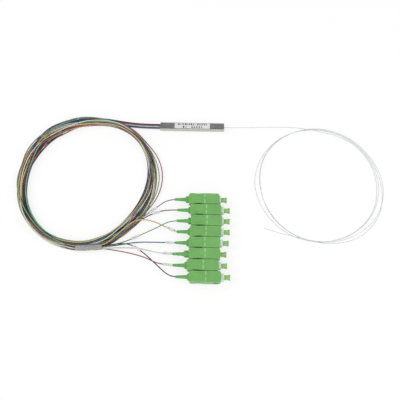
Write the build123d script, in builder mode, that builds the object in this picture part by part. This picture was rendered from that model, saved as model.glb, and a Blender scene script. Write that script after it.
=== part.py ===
from build123d import *
import math
import os

# 1x8 fibre splitter in a steel mini module, laid out as it comes out of its bag: eight coloured
# fibres wound in a coil on the left, their plugs in a column, the input fibre in a coil on the right.
# Millimetres. The module lies along X, the middle of its underside is the origin, +X is the input
# side and +Z is up. Everything lies on the plane z = 0.

# Module: a flat steel tube closed by a moulded plug at each end
TUBE_LENGTH = 55.0
TUBE_WIDTH = 7.0
TUBE_HEIGHT = 4.0
TUBE_CORNER = 1.0
TUBE_WALL = 0.35
END_PLUG_LENGTH = 5.0
END_PLUG_SETBACK = 0.4
POTTING_GAP = 0.05
LABEL_LENGTH = 30.3
LABEL_WIDTH = 5.0
LABEL_THICKNESS = 0.12
LABEL_CORNER = 0.4
LABEL_SHIFT = 0.1

# Splitter chip and the two fibre blocks glued to it, on the floor of the tube
CHIP_LENGTH = 12.0
CHIP_WIDTH = 2.4
CHIP_HEIGHT = 1.0
LID_HEIGHT = 1.2
LID_LENGTH = 10.0
INPUT_BLOCK_LENGTH = 6.0
OUTPUT_BLOCK_LENGTH = 8.0
BLOCK_WIDTH = 2.6
BLOCK_FOOT_HEIGHT = 0.85
BLOCK_HEIGHT = 2.2
BLOCK_LID_SHARE = 0.7
BARE_FIBRE_DIAMETER = 0.25
BARE_FIBRE_LEVEL_SHARE = 0.35
RIBBON_THICKNESS = 0.3
RIBBON_WIDTH_AT_BLOCK = 2.1

# Fibres: the outputs run in 0.9 mm tubes, four abreast and two high at the module
CHANNELS = 8
OUTPUT_DIAMETER = 0.9
INPUT_DIAMETER = 0.4
HOLE_CLEARANCE = 0.03
ROW_PITCH = 1.1
CHANNELS_PER_ROW = 4

# Plug: grip, frame, ferrule, spring, stop body, boot and dust cap, measured along the plug's axis
# from the front end of the frame, with rear distances negative
PLUG_PITCH = 9.3
FIRST_PLUG_Y = -69.0
FRAME_FRONT_X = (25.1, 27.6, 27.5, 27.6, 26.8, 25.0, 25.6, 28.0)

GRIP_LENGTH = 25.0
GRIP_WIDTH = 9.0
GRIP_HEIGHT = 7.4
GRIP_SIDE_WALL = 0.8
GRIP_FLAT_WALL = 0.85
GRIP_REAR_WALL = 1.8
GRIP_REAR_CORNER = 2.2
GRIP_FRONT_CORNER = 1.8
GRIP_EDGE = 0.4
GRIP_TRAVEL = 2.4
GRIP_SET_FORWARD = (1.2, 0.2, 0.9, 0.1, 0.2, 2.3, 0.4, 0.0)
KEY_WIDTH = 2.0
KEY_HEIGHT = 0.8
KEY_LENGTH = 12.0
KEY_SETBACK = 0.6
FINGER_START = 3.0
FINGER_LENGTH = 9.0
FINGER_DEPTH = 0.5
RIB_COUNT = 4
RIB_PITCH = 1.5
RIB_WIDTH = 0.5
PANEL_START = 2.2
PANEL_LENGTH = 8.8
PANEL_WIDTH = 5.2
PANEL_DEPTH = 0.15
PANEL_CORNER = 0.6
WINDOW_START = 2.6
WINDOW_LENGTH = 3.4
WINDOW_HEIGHT = 3.0

SLIDE_CLEARANCE = 0.15
NOSE_LENGTH = 13.0
NOSE_WIDTH = 5.3
NOSE_CHAMFER = 0.35
FRAME_LENGTH = 22.0
FRONT_BORE = 4.4
FRONT_BORE_DEPTH = 5.5
FERRULE_WALL = 1.2
SHOULDER_FRONT = 3.0
SHOULDER_LENGTH = 2.6
SHOULDER_RISE = 0.7
SHOULDER_HEIGHT = 2.6
BOSS_LENGTH = 2.0
BOSS_WIDTH = 2.2
BOSS_START = 15.5
BOSS_RISE = 0.35
GROOVE_CLEARANCE = 0.1

FERRULE_DIAMETER = 2.5
FERRULE_PROUD = 0.6
FERRULE_CHAMFER = 0.35
FERRULE_ANGLE = 8.0
FERRULE_RUNNING = 0.1
FLANGE_DIAMETER = 4.1
FLANGE_LENGTH = 2.1
FLANGE_NOTCHES = 4
FLANGE_NOTCH_WIDTH = 0.8
FLANGE_NOTCH_DEPTH = 0.35
FERRULE_TAIL_DIAMETER = 2.0
FERRULE_TAIL_LENGTH = 4.0
SEAT_GAP = 0.05

SPRING_LENGTH = 6.8
SPRING_WIRE = 0.45
SPRING_RADIUS = 1.65
SPRING_TURNS = 5

STOP_FLANGE_DIAMETER = 5.3
STOP_FLANGE_LENGTH = 2.2
STOP_TAIL_DIAMETER = 3.2
STOP_TAIL_LENGTH = 3.8
FIT_GAP = 0.05
FIBRE_BORE = 1.1

BOOT_COLLAR_DIAMETER = 5.6
BOOT_COLLAR_LENGTH = 4.0
BOOT_CONE_LENGTH = 1.0
BOOT_NECK_DIAMETER = 3.1
BOOT_STEM_LENGTH = 8.5
BOOT_TIP_DIAMETER = 2.1
BOOT_EDGE = 0.5

CAP_SLEEVE_DIAMETER = 3.8
CAP_SLEEVE_DEPTH = 4.2
CAP_BORE_DEPTH = 5.6
CAP_NECK_LENGTH = 3.0
CAP_FLARE_LENGTH = 1.0
CAP_RIM_LENGTH = 0.8
CAP_RIM_DIAMETER = 4.8
CAP_RUNNING = 0.05

# Number tags: loose sleeves on the fibres
TAG_LENGTH = 7.4
TAG_DIAMETER = 2.3
TAG_BORE = 1.5

# Coils: centre, radii of the middle of the bundle along X and Y, and the bundle's section
OUTPUT_COIL_CENTRE = (-86.3, -52.4)
OUTPUT_COIL_RADII = (54.2, 57.0)
OUTPUT_COIL_WIDTH = 7.8
OUTPUT_COIL_HEIGHT = 3.8
OUTPUT_COIL_ROUND = 1.2
INPUT_COIL_CENTRE = (106.7, -51.0)
INPUT_COIL_RADII = (51.3, 50.6)
INPUT_COIL_WIDTH = 5.6
INPUT_COIL_HEIGHT = 1.6
INPUT_COIL_ROUND = 0.5

# Places that follow from the sizes above
tube_end = TUBE_LENGTH / 2
tube_middle_height = TUBE_HEIGHT / 2
cavity_floor = TUBE_WALL
end_plug_inner_x = tube_end - END_PLUG_SETBACK - END_PLUG_LENGTH
plug_axis_height = KEY_HEIGHT + GRIP_HEIGHT / 2
plug_axis_y = [FIRST_PLUG_Y - PLUG_PITCH * place for place in range(CHANNELS)]
frame_width = GRIP_WIDTH - 2 * GRIP_SIDE_WALL - 2 * SLIDE_CLEARANCE
frame_height = GRIP_HEIGHT - 2 * GRIP_FLAT_WALL - 2 * SLIDE_CLEARANCE
flange_front = -(FRONT_BORE_DEPTH + FERRULE_WALL + SEAT_GAP)
flange_rear = flange_front - FLANGE_LENGTH
spring_rear = flange_rear - SPRING_LENGTH
stop_front = spring_rear
stop_neck_rear = -FRAME_LENGTH
stop_flange_rear = stop_neck_rear - STOP_FLANGE_LENGTH
stop_tail_rear = stop_flange_rear - STOP_TAIL_LENGTH
boot_front = stop_flange_rear
boot_cone_front = boot_front - BOOT_COLLAR_LENGTH
boot_stem_front = boot_cone_front - BOOT_CONE_LENGTH
boot_tip = boot_stem_front - BOOT_STEM_LENGTH


def tip_x(channel):
    """X of the rear tip of a channel's boot."""
    return FRAME_FRONT_X[channel] + boot_tip


def at_boot(channel, behind_tip):
    """A point on a plug's axis, so far behind the tip of its boot (negative: inside the boot)."""
    return (tip_x(channel) - behind_tip, plug_axis_y[channel], plug_axis_height)


def at_module(channel, x, y=0.0):
    """A point of the output bundle: the channels keep their place four abreast and two high."""
    column = channel % CHANNELS_PER_ROW - (CHANNELS_PER_ROW - 1) / 2
    row = channel // CHANNELS_PER_ROW - 0.5
    return (x, y + column * ROW_PITCH, tube_middle_height + row * ROW_PITCH)


# Routes of the fibres where they aren't coiled, each a list of points chosen by hand. The module's
# bundle runs left into the coil; each lead leaves the coil and ends inside its boot.
BUNDLE_LINE = ((-23.5, 0.0), (-36.0, 0.0), (-49.5, 0.6), (-63.0, 2.6), (-76.0, 5.0))
LEADS = (
    [(-46.5, -91.0, 2.9), (-36.2, -82.9, 2.7), (-26.1, -74.6, 2.4), at_boot(0, 5.3), at_boot(0, -2.9)],
    [(-43.6, -90.2, 1.7), (-34.8, -82.7, 1.6), (-22.8, -78.1, 1.9), at_boot(1, 5.3), at_boot(1, -2.2)],
    [
        (-73.5, -110.2, 2.4),
        (-61.5, -108.6, 2.3),
        (-49.6, -104.6, 1.6),
        (-36.6, -98.1, 1.8),
        (-24.5, -92.6, 3.6),
        at_boot(2, 5.5),
        at_boot(2, -2.4),
    ],
    [
        (-50.8, -92.9, 0.55),
        (-42.2, -86.6, 0.55),
        (-31.5, -86.2, 0.7),
        (-21.8, -90.7, 1.7),
        at_boot(3, 1.2),
        at_boot(3, -3.1),
    ],
    [
        (-83.5, -110.9, 0.8),
        (-69.8, -111.0, 0.6),
        (-55.6, -107.6, 0.55),
        (-41.5, -104.9, 0.7),
        at_boot(4, 14.2),
        at_boot(4, -2.2),
    ],
    [
        (-79.5, -111.5, 1.9),
        (-66.0, -111.4, 1.7),
        (-52.5, -110.0, 0.9),
        (-37.5, -110.4, 0.9),
        at_boot(5, 10.2),
        at_boot(5, -3.0),
    ],
    [
        (-77.5, -112.3, 0.55),
        (-63.0, -111.8, 0.55),
        (-48.5, -113.9, 0.55),
        (-34.5, -117.6, 0.9),
        at_boot(6, 10.3),
        at_boot(6, -3.0),
    ],
    [
        (-72.5, -108.4, 2.9),
        (-60.0, -107.3, 3.5),
        (-47.2, -107.0, 3.3),
        (-35.7, -114.4, 2.6),
        (-25.5, -123.4, 0.8),
        (-17.5, -131.2, 2.6),
        at_boot(7, 2.5),
        at_boot(7, -2.5),
    ],
)
# Each tag's place on its lead: the index of the run that it sits on, and its share of the way along
TAG_RUN_INDEX = (1, 1, 2, 3, 4, 4, 4, 2)
TAG_SHARE = (0.6, 0.65, 0.5, 0.62, 0.6, 0.45, 0.47, 0.5)
INPUT_LEAD = (
    (23.5, 0.0, tube_middle_height),
    (38.0, 0.0, tube_middle_height),
    (54.0, 1.3, 0.6),
    (70.0, 2.2, 0.3),
    (86.0, 2.2, 0.3),
    (99.5, 0.9, 0.5),
)
INPUT_TAIL = ((90.0, -99.5, 0.5), (79.8, -97.2, 0.4), (69.9, -94.4, 0.3), (60.4, -90.9, 0.25))
BEND_SHARE = 0.45


def bend_radii(route):
    """One radius for each corner of a route: as large as its two runs allow."""
    points = [Vector(*point) for point in route]
    radii = []
    for before, corner, after in zip(points, points[1:], points[2:]):
        run_in, run_out = corner - before, after - corner
        half_turn = math.radians(run_in.get_angle(run_out)) / 2
        radii.append(BEND_SHARE * min(run_in.length, run_out.length) / math.tan(half_turn))
    return radii


def save(piece, name):
    """Labels a finished piece and writes it as a node of that name."""
    piece.part.label = name
    export_step(piece.part, f"parts/{name}.step")


os.makedirs("parts", exist_ok=True)

# Module tube
with BuildPart() as module_tube:
    with BuildSketch(Plane.YZ.offset(-tube_end)):
        with Locations((0, tube_middle_height)):
            RectangleRounded(TUBE_WIDTH, TUBE_HEIGHT, TUBE_CORNER)
            RectangleRounded(
                TUBE_WIDTH - 2 * TUBE_WALL,
                TUBE_HEIGHT - 2 * TUBE_WALL,
                TUBE_CORNER - TUBE_WALL,
                mode=Mode.SUBTRACT,
            )
    extrude(amount=TUBE_LENGTH)
save(module_tube, "module_tube")

# Label, stuck on the tube's flat top
with BuildPart() as module_label:
    with BuildSketch(Plane.XY.offset(TUBE_HEIGHT)):
        with Locations((LABEL_SHIFT, 0)):
            RectangleRounded(LABEL_LENGTH, LABEL_WIDTH, LABEL_CORNER)
    extrude(amount=LABEL_THICKNESS)
save(module_label, "module_label")


def make_end_plug(side, holes, hole_diameter):
    """A moulded plug that fills one end of the tube round the fibres, which pass through its holes."""
    outer_x = side * (tube_end - END_PLUG_SETBACK)
    with BuildPart() as end_plug:
        with BuildSketch(Plane.YZ.offset(outer_x)):
            with Locations((0, tube_middle_height)):
                RectangleRounded(
                    TUBE_WIDTH - 2 * (TUBE_WALL + POTTING_GAP),
                    TUBE_HEIGHT - 2 * (TUBE_WALL + POTTING_GAP),
                    TUBE_CORNER - TUBE_WALL - POTTING_GAP,
                )
            with Locations(*holes):
                Circle(hole_diameter / 2, mode=Mode.SUBTRACT)
        extrude(amount=-side * END_PLUG_LENGTH)
    return end_plug


output_holes = [at_module(channel, 0)[1:] for channel in range(CHANNELS)]
save(make_end_plug(-1, output_holes, OUTPUT_DIAMETER + 2 * HOLE_CLEARANCE), "output_end_plug")
save(make_end_plug(1, [(0, tube_middle_height)], INPUT_DIAMETER + 2 * HOLE_CLEARANCE), "input_end_plug")

# Splitter chip with its glass lid, on the floor of the tube
with BuildPart() as splitter_chip:
    with BuildSketch(Plane.XY.offset(cavity_floor)):
        Rectangle(CHIP_LENGTH, CHIP_WIDTH)
    extrude(amount=CHIP_HEIGHT)
    with BuildSketch(Plane.XY.offset(cavity_floor + CHIP_HEIGHT)):
        Rectangle(LID_LENGTH, CHIP_WIDTH)
    extrude(amount=LID_HEIGHT)
save(splitter_chip, "splitter_chip")


def make_fibre_block(side, length):
    """A glass block glued to the chip's end: a grooved foot, and a shorter lid that leaves a step."""
    near = side * CHIP_LENGTH / 2
    with BuildPart() as block:
        with BuildSketch(Plane.XZ.offset(-BLOCK_WIDTH / 2)):
            with BuildLine():
                Polyline(
                    (near, cavity_floor),
                    (near + side * length, cavity_floor),
                    (near + side * length, cavity_floor + BLOCK_FOOT_HEIGHT),
                    (near + side * length * BLOCK_LID_SHARE, cavity_floor + BLOCK_FOOT_HEIGHT),
                    (near + side * length * BLOCK_LID_SHARE, cavity_floor + BLOCK_HEIGHT),
                    (near, cavity_floor + BLOCK_HEIGHT),
                    close=True,
                )
            make_face()
        extrude(amount=BLOCK_WIDTH)
    return block


save(make_fibre_block(1, INPUT_BLOCK_LENGTH), "input_fibre_block")
save(make_fibre_block(-1, OUTPUT_BLOCK_LENGTH), "output_fibre_block")

# Bare input fibre inside the module, from the end plug to its block
bare_start_x = end_plug_inner_x
bare_end_x = CHIP_LENGTH / 2 + INPUT_BLOCK_LENGTH
bare_rest_height = cavity_floor + BLOCK_FOOT_HEIGHT + BARE_FIBRE_DIAMETER / 2
bare_level_run = (bare_start_x - bare_end_x) * BARE_FIBRE_LEVEL_SHARE
bare_route = (
    (bare_start_x, 0, tube_middle_height),
    (bare_start_x - bare_level_run, 0, tube_middle_height),
    (bare_end_x + bare_level_run, 0, bare_rest_height),
    (CHIP_LENGTH / 2 + INPUT_BLOCK_LENGTH * BLOCK_LID_SHARE, 0, bare_rest_height),
)
with BuildPart() as bare_input_fibre:
    with BuildLine() as bare_path:
        FilletPolyline(*bare_route, radius=bend_radii(bare_route))
    with BuildSketch(Plane(origin=bare_path.line @ 0, z_dir=bare_path.line % 0)):
        Circle(BARE_FIBRE_DIAMETER / 2)
    sweep(path=bare_path.wire())
save(bare_input_fibre, "bare_input_fibre")

# Eight bare output fibres, side by side, fan out from their block to the eight tubes
ribbon_block_x = -(CHIP_LENGTH / 2 + OUTPUT_BLOCK_LENGTH * BLOCK_LID_SHARE)
ribbon_height = cavity_floor + BLOCK_FOOT_HEIGHT
with BuildPart() as output_ribbon:
    with BuildSketch(Plane.XY.offset(ribbon_height)):
        with BuildLine():
            Polyline(
                (ribbon_block_x, RIBBON_WIDTH_AT_BLOCK / 2),
                (-(CHIP_LENGTH / 2 + OUTPUT_BLOCK_LENGTH), RIBBON_WIDTH_AT_BLOCK / 2),
                (-end_plug_inner_x, CHANNELS_PER_ROW * ROW_PITCH / 2),
                (-end_plug_inner_x, -CHANNELS_PER_ROW * ROW_PITCH / 2),
                (-(CHIP_LENGTH / 2 + OUTPUT_BLOCK_LENGTH), -RIBBON_WIDTH_AT_BLOCK / 2),
                (ribbon_block_x, -RIBBON_WIDTH_AT_BLOCK / 2),
                close=True,
            )
        make_face()
    extrude(amount=RIBBON_THICKNESS)
save(output_ribbon, "output_ribbon")


def plug_section(distance):
    """A plane across the plug's axis, so far ahead of the frame's front end: its x is Y, its y is Z."""
    return Plane(origin=(distance, 0, 0), x_dir=(0, 1, 0), z_dir=(1, 0, 0))


# Grip, shown in its rearmost place: a rounded box, open at the front, with a smaller rear opening
grip_front = -GRIP_TRAVEL
grip_rear = grip_front - GRIP_LENGTH
with BuildPart() as grip_form:
    with BuildSketch(plug_section(grip_rear)):
        Rectangle(GRIP_WIDTH, GRIP_HEIGHT)
    extrude(amount=GRIP_LENGTH)
    fillet(grip_form.edges().filter_by(Axis.Z).group_by(Axis.X)[0], radius=GRIP_REAR_CORNER)
    fillet(grip_form.edges().filter_by(Axis.Z).group_by(Axis.X)[-1], radius=GRIP_FRONT_CORNER)
    fillet(grip_form.faces().filter_by(Axis.Z).edges(), radius=GRIP_EDGE)
    with BuildSketch(plug_section(grip_rear + GRIP_REAR_WALL)):
        Rectangle(GRIP_WIDTH - 2 * GRIP_SIDE_WALL, GRIP_HEIGHT - 2 * GRIP_FLAT_WALL)
    extrude(amount=GRIP_LENGTH, mode=Mode.SUBTRACT)
    with BuildSketch(plug_section(grip_rear)):
        Circle(BOOT_COLLAR_DIAMETER / 2 + 2 * SLIDE_CLEARANCE)
    extrude(amount=GRIP_REAR_WALL, mode=Mode.SUBTRACT)
    # Groove in each flat wall, which limits the slide on the frame's bosses
    groove_rear = -(BOSS_START + BOSS_LENGTH) - GRIP_TRAVEL - GROOVE_CLEARANCE
    groove_length = BOSS_LENGTH + GRIP_TRAVEL + 2 * GROOVE_CLEARANCE
    with BuildSketch(plug_section(groove_rear)):
        Rectangle(
            BOSS_WIDTH + 2 * SLIDE_CLEARANCE,
            frame_height + 2 * (BOSS_RISE + SLIDE_CLEARANCE),
        )
    extrude(amount=groove_length, mode=Mode.SUBTRACT)
    # Windows over the latch shoulders, through both side walls
    with BuildSketch(Plane.XZ.offset(-GRIP_WIDTH / 2)):
        with Locations((grip_front - WINDOW_START - WINDOW_LENGTH / 2, 0)):
            RectangleRounded(WINDOW_LENGTH, WINDOW_HEIGHT, GRIP_EDGE)
    extrude(amount=GRIP_WIDTH, mode=Mode.SUBTRACT)
    # Hollows for finger and thumb in both side walls, with upright ribs left in them
    finger_middle = grip_rear + FINGER_START + FINGER_LENGTH / 2
    finger_radius = ((FINGER_LENGTH / 2) ** 2 + FINGER_DEPTH**2) / (2 * FINGER_DEPTH)
    hollow_places = [
        (finger_middle, side * (GRIP_WIDTH / 2 - FINGER_DEPTH + finger_radius)) for side in (-1, 1)
    ]
    with BuildSketch(Plane.XY.offset(-GRIP_HEIGHT / 2)):
        with Locations(*hollow_places):
            Circle(finger_radius)
        first_rib = finger_middle - RIB_PITCH * (RIB_COUNT - 1) / 2
        with Locations(*[(first_rib + RIB_PITCH * place, 0) for place in range(RIB_COUNT)]):
            Rectangle(RIB_WIDTH, GRIP_WIDTH - FINGER_DEPTH, mode=Mode.SUBTRACT)
    extrude(amount=GRIP_HEIGHT, mode=Mode.SUBTRACT)
    # Shallow panels on the two wide faces
    for face_height, sunk in ((GRIP_HEIGHT / 2 - PANEL_DEPTH, 1), (-GRIP_HEIGHT / 2 + PANEL_DEPTH, -1)):
        with BuildSketch(Plane.XY.offset(face_height)):
            with Locations((grip_rear + PANEL_START + PANEL_LENGTH / 2, 0)):
                RectangleRounded(PANEL_LENGTH, PANEL_WIDTH, PANEL_CORNER)
        extrude(amount=sunk * PANEL_DEPTH, mode=Mode.SUBTRACT)
    # Key under the front half
    with BuildSketch(Plane.XY.offset(-GRIP_HEIGHT / 2)):
        with Locations((grip_front - KEY_SETBACK - KEY_LENGTH / 2, 0)):
            RectangleRounded(KEY_LENGTH, KEY_WIDTH, GRIP_EDGE)
    extrude(amount=-KEY_HEIGHT)

# Plug frame: a wide rear block and a slender nose with latch shoulders, bored through
with BuildPart() as frame_form:
    with BuildSketch(plug_section(-FRAME_LENGTH)):
        Rectangle(frame_width, frame_height)
    extrude(amount=FRAME_LENGTH - NOSE_LENGTH)
    chamfer(frame_form.edges().filter_by(Axis.Z).group_by(Axis.X)[-1], length=NOSE_CHAMFER)
    with BuildSketch(plug_section(-NOSE_LENGTH)):
        Rectangle(NOSE_WIDTH, frame_height)
    extrude(amount=NOSE_LENGTH)
    chamfer(frame_form.faces().sort_by(Axis.X)[-1].edges(), length=NOSE_CHAMFER)
    with BuildSketch(Plane.XY.offset(-SHOULDER_HEIGHT / 2)):
        for side in (-1, 1):
            with BuildLine():
                Polyline(
                    (-SHOULDER_FRONT, side * NOSE_WIDTH / 2),
                    (-SHOULDER_FRONT - SHOULDER_LENGTH, side * (NOSE_WIDTH / 2 + SHOULDER_RISE)),
                    (-SHOULDER_FRONT - SHOULDER_LENGTH, side * NOSE_WIDTH / 2),
                    close=True,
                )
            make_face()
    extrude(amount=SHOULDER_HEIGHT)
    with BuildSketch(plug_section(-(BOSS_START + BOSS_LENGTH))):
        Rectangle(BOSS_WIDTH, frame_height + 2 * BOSS_RISE)
    extrude(amount=BOSS_LENGTH)
    with BuildSketch(plug_section(-FRAME_LENGTH)):
        Circle(FRONT_BORE / 2)
    extrude(amount=FRAME_LENGTH - FRONT_BORE_DEPTH - FERRULE_WALL, mode=Mode.SUBTRACT)
    with BuildSketch(plug_section(-FRONT_BORE_DEPTH)):
        Circle(FRONT_BORE / 2)
    extrude(amount=FRONT_BORE_DEPTH, mode=Mode.SUBTRACT)
    with BuildSketch(plug_section(-FRONT_BORE_DEPTH - FERRULE_WALL)):
        Circle(FERRULE_DIAMETER / 2 + FERRULE_RUNNING)
    extrude(amount=FERRULE_WALL, mode=Mode.SUBTRACT)

# Ferrule with its notched flange and tail, its end face polished at an angle
with BuildPart() as ferrule_form:
    with BuildSketch(plug_section(flange_front)):
        Circle(FERRULE_DIAMETER / 2)
    extrude(amount=FERRULE_PROUD - flange_front)
    chamfer(ferrule_form.edges().sort_by(Axis.X)[-1], length=FERRULE_CHAMFER)
    with BuildSketch(plug_section(flange_rear)):
        Circle(FLANGE_DIAMETER / 2)
        with PolarLocations(FLANGE_DIAMETER / 2, FLANGE_NOTCHES):
            Rectangle(2 * FLANGE_NOTCH_DEPTH, FLANGE_NOTCH_WIDTH, mode=Mode.SUBTRACT)
    extrude(amount=FLANGE_LENGTH)
    with BuildSketch(plug_section(flange_rear - FERRULE_TAIL_LENGTH)):
        Circle(FERRULE_TAIL_DIAMETER / 2)
    extrude(amount=FERRULE_TAIL_LENGTH)
    polish = Plane(origin=(FERRULE_PROUD, 0, 0), z_dir=(1, 0, math.tan(math.radians(FERRULE_ANGLE))))
    split(bisect_by=polish, keep=Keep.BOTTOM)

# Ferrule spring, between the flange and the stop body
with BuildPart() as spring_form:
    with BuildLine() as spring_line:
        Helix(
            pitch=(SPRING_LENGTH - SPRING_WIRE - 2 * SEAT_GAP) / SPRING_TURNS,
            height=SPRING_LENGTH - SPRING_WIRE - 2 * SEAT_GAP,
            radius=SPRING_RADIUS,
            center=(spring_rear + SPRING_WIRE / 2 + SEAT_GAP, 0, 0),
            direction=(1, 0, 0),
        )
    with BuildSketch(Plane(origin=spring_line.line @ 0, z_dir=spring_line.line % 0)):
        Circle(SPRING_WIRE / 2)
    sweep(path=spring_line.wire())

# Stop body: closes the frame behind the spring, and its tail carries the boot
with BuildPart() as stop_form:
    with BuildSketch(Plane.XZ):
        with BuildLine():
            Polyline(
                (stop_front, FIBRE_BORE / 2),
                (stop_front, FRONT_BORE / 2 - FIT_GAP),
                (stop_neck_rear, FRONT_BORE / 2 - FIT_GAP),
                (stop_neck_rear, STOP_FLANGE_DIAMETER / 2),
                (stop_flange_rear, STOP_FLANGE_DIAMETER / 2),
                (stop_flange_rear, STOP_TAIL_DIAMETER / 2),
                (stop_tail_rear, STOP_TAIL_DIAMETER / 2),
                (stop_tail_rear, FIBRE_BORE / 2),
                close=True,
            )
        make_face()
    revolve(axis=Axis.X)

# Boot: a collar over the stop body's tail, a cone and a slender stem for the fibre
with BuildPart() as boot_form:
    with BuildSketch(Plane.XZ):
        with BuildLine():
            Polyline(
                (boot_front, STOP_TAIL_DIAMETER / 2 + FIT_GAP),
                (boot_front, BOOT_COLLAR_DIAMETER / 2),
                (boot_cone_front, BOOT_COLLAR_DIAMETER / 2),
                (boot_stem_front, BOOT_NECK_DIAMETER / 2),
                (boot_tip, BOOT_TIP_DIAMETER / 2),
                (boot_tip, FIBRE_BORE / 2),
                (stop_tail_rear - FIT_GAP, FIBRE_BORE / 2),
                (stop_tail_rear - FIT_GAP, STOP_TAIL_DIAMETER / 2 + FIT_GAP),
                close=True,
            )
        make_face()
    revolve(axis=Axis.X)
    fillet(
        boot_form.edges().filter_by(GeomType.CIRCLE).filter_by_position(
            Axis.X, boot_stem_front, boot_cone_front, inclusive=(True, True)
        ),
        radius=BOOT_EDGE,
    )

# Dust cap: a sleeve over the ferrule with a flared end to pull
cap_rim_front = CAP_NECK_LENGTH + CAP_FLARE_LENGTH + CAP_RIM_LENGTH
with BuildPart() as cap_form:
    with BuildSketch(Plane.XZ):
        with BuildLine():
            Polyline(
                (-CAP_SLEEVE_DEPTH, FERRULE_DIAMETER / 2 + CAP_RUNNING),
                (-CAP_SLEEVE_DEPTH, CAP_SLEEVE_DIAMETER / 2),
                (CAP_NECK_LENGTH, CAP_SLEEVE_DIAMETER / 2),
                (CAP_NECK_LENGTH + CAP_FLARE_LENGTH, CAP_RIM_DIAMETER / 2),
                (cap_rim_front, CAP_RIM_DIAMETER / 2),
                (cap_rim_front, 0),
                (CAP_BORE_DEPTH - CAP_SLEEVE_DEPTH, 0),
                (CAP_BORE_DEPTH - CAP_SLEEVE_DEPTH, FERRULE_DIAMETER / 2 + CAP_RUNNING),
                close=True,
            )
        make_face()
    revolve(axis=Axis.X)
    fillet(cap_form.edges().filter_by(GeomType.CIRCLE).sort_by(Axis.X)[-1], radius=GRIP_EDGE)

plug_places = [
    (FRAME_FRONT_X[channel], plug_axis_y[channel], plug_axis_height) for channel in range(CHANNELS)
]
for number, (x, y, z) in enumerate(plug_places, start=1):
    with BuildPart() as connector_grip:
        with Locations((x + GRIP_SET_FORWARD[number - 1], y, z)):
            add(grip_form.part)
    save(connector_grip, f"connector_grip_{number}")
    with BuildPart() as plug_frame:
        with Locations((x, y, z)):
            add(frame_form.part)
    save(plug_frame, f"plug_frame_{number}")
    with BuildPart() as ferrule:
        with Locations((x, y, z)):
            add(ferrule_form.part)
    save(ferrule, f"ferrule_{number}")
    with BuildPart() as dust_cap:
        with Locations((x, y, z)):
            add(cap_form.part)
    save(dust_cap, f"dust_cap_{number}")

with BuildPart() as ferrule_springs:
    with Locations(*plug_places):
        add(spring_form.part)
save(ferrule_springs, "ferrule_springs")

with BuildPart() as stop_bodies:
    with Locations(*plug_places):
        add(stop_form.part)
save(stop_bodies, "stop_bodies")

with BuildPart() as boots:
    with Locations(*plug_places):
        add(boot_form.part)
save(boots, "boots")

# Number tags, each a sleeve along one run of its lead
with BuildPart() as number_tags:
    for lead, run, share in zip(LEADS, TAG_RUN_INDEX, TAG_SHARE):
        start, end = Vector(*lead[run]), Vector(*lead[run + 1])
        along = (end - start).normalized()
        tag_start = start + (end - start) * share - along * (TAG_LENGTH / 2)
        with BuildSketch(Plane(origin=tag_start, z_dir=along)):
            Circle(TAG_DIAMETER / 2)
            Circle(TAG_BORE / 2, mode=Mode.SUBTRACT)
        extrude(amount=TAG_LENGTH)
save(number_tags, "number_tags")


def make_fibre(routes, diameter):
    """Tubes along routes of straight runs joined by tangent arcs. Prints the radii and the volume."""
    length = 0.0
    with BuildPart() as fibre:
        for route in routes:
            radii = bend_radii(route)
            print("bend radii", [round(radius, 1) for radius in radii])
            with BuildLine() as path:
                FilletPolyline(*route, radius=radii)
            with BuildSketch(Plane(origin=path.line @ 0, z_dir=path.line % 0)):
                Circle(diameter / 2)
            sweep(path=path.wire())
            length += path.wire().length
    expected = math.pi * (diameter / 2) ** 2 * length
    print("length", round(length, 1), "volume", round(fibre.part.volume, 2), "of", round(expected, 2))
    return fibre


for channel in range(CHANNELS):
    bundle = [at_module(channel, x, y) for x, y in BUNDLE_LINE]
    save(make_fibre([bundle, LEADS[channel]], OUTPUT_DIAMETER), f"output_fibre_{channel + 1}")
save(make_fibre([INPUT_LEAD, INPUT_TAIL], INPUT_DIAMETER), "input_fibre")


def make_coil(centre, radii, width, height, rounding):
    """The outer shape of a coil that lies flat: an oval ring with rounded edges."""
    with BuildPart() as coil:
        with BuildSketch():
            with Locations(centre):
                Ellipse(radii[0] + width / 2, radii[1] + width / 2)
                Ellipse(radii[0] - width / 2, radii[1] - width / 2, mode=Mode.SUBTRACT)
        extrude(amount=height)
        fillet(coil.faces().filter_by(Axis.Z).edges(), radius=rounding)
    return coil


save(
    make_coil(
        OUTPUT_COIL_CENTRE, OUTPUT_COIL_RADII, OUTPUT_COIL_WIDTH, OUTPUT_COIL_HEIGHT, OUTPUT_COIL_ROUND
    ),
    "output_coil",
)
save(
    make_coil(INPUT_COIL_CENTRE, INPUT_COIL_RADII, INPUT_COIL_WIDTH, INPUT_COIL_HEIGHT, INPUT_COIL_ROUND),
    "input_coil",
)
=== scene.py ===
"""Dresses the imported 1x8 fibre splitter: wound fibres, number sleeves, prints and materials.

Sizes and places are in millimetres in the CAD's frame, and MM turns them into Blender's metres.
"""
import math

import bmesh
import bpy
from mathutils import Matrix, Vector, noise


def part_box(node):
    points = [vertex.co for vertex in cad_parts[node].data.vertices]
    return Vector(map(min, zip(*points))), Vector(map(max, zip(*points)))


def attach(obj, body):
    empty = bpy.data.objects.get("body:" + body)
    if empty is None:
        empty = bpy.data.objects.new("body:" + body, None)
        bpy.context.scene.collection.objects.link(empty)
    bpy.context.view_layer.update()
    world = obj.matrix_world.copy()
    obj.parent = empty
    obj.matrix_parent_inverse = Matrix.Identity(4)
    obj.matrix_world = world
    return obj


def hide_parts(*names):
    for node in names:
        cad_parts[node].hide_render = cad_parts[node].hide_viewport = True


MM = 0.001
SEED = 3.7

CHANNELS = 8
OUTPUT_DIAMETER = 0.9
INPUT_DIAMETER = 0.4

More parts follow.
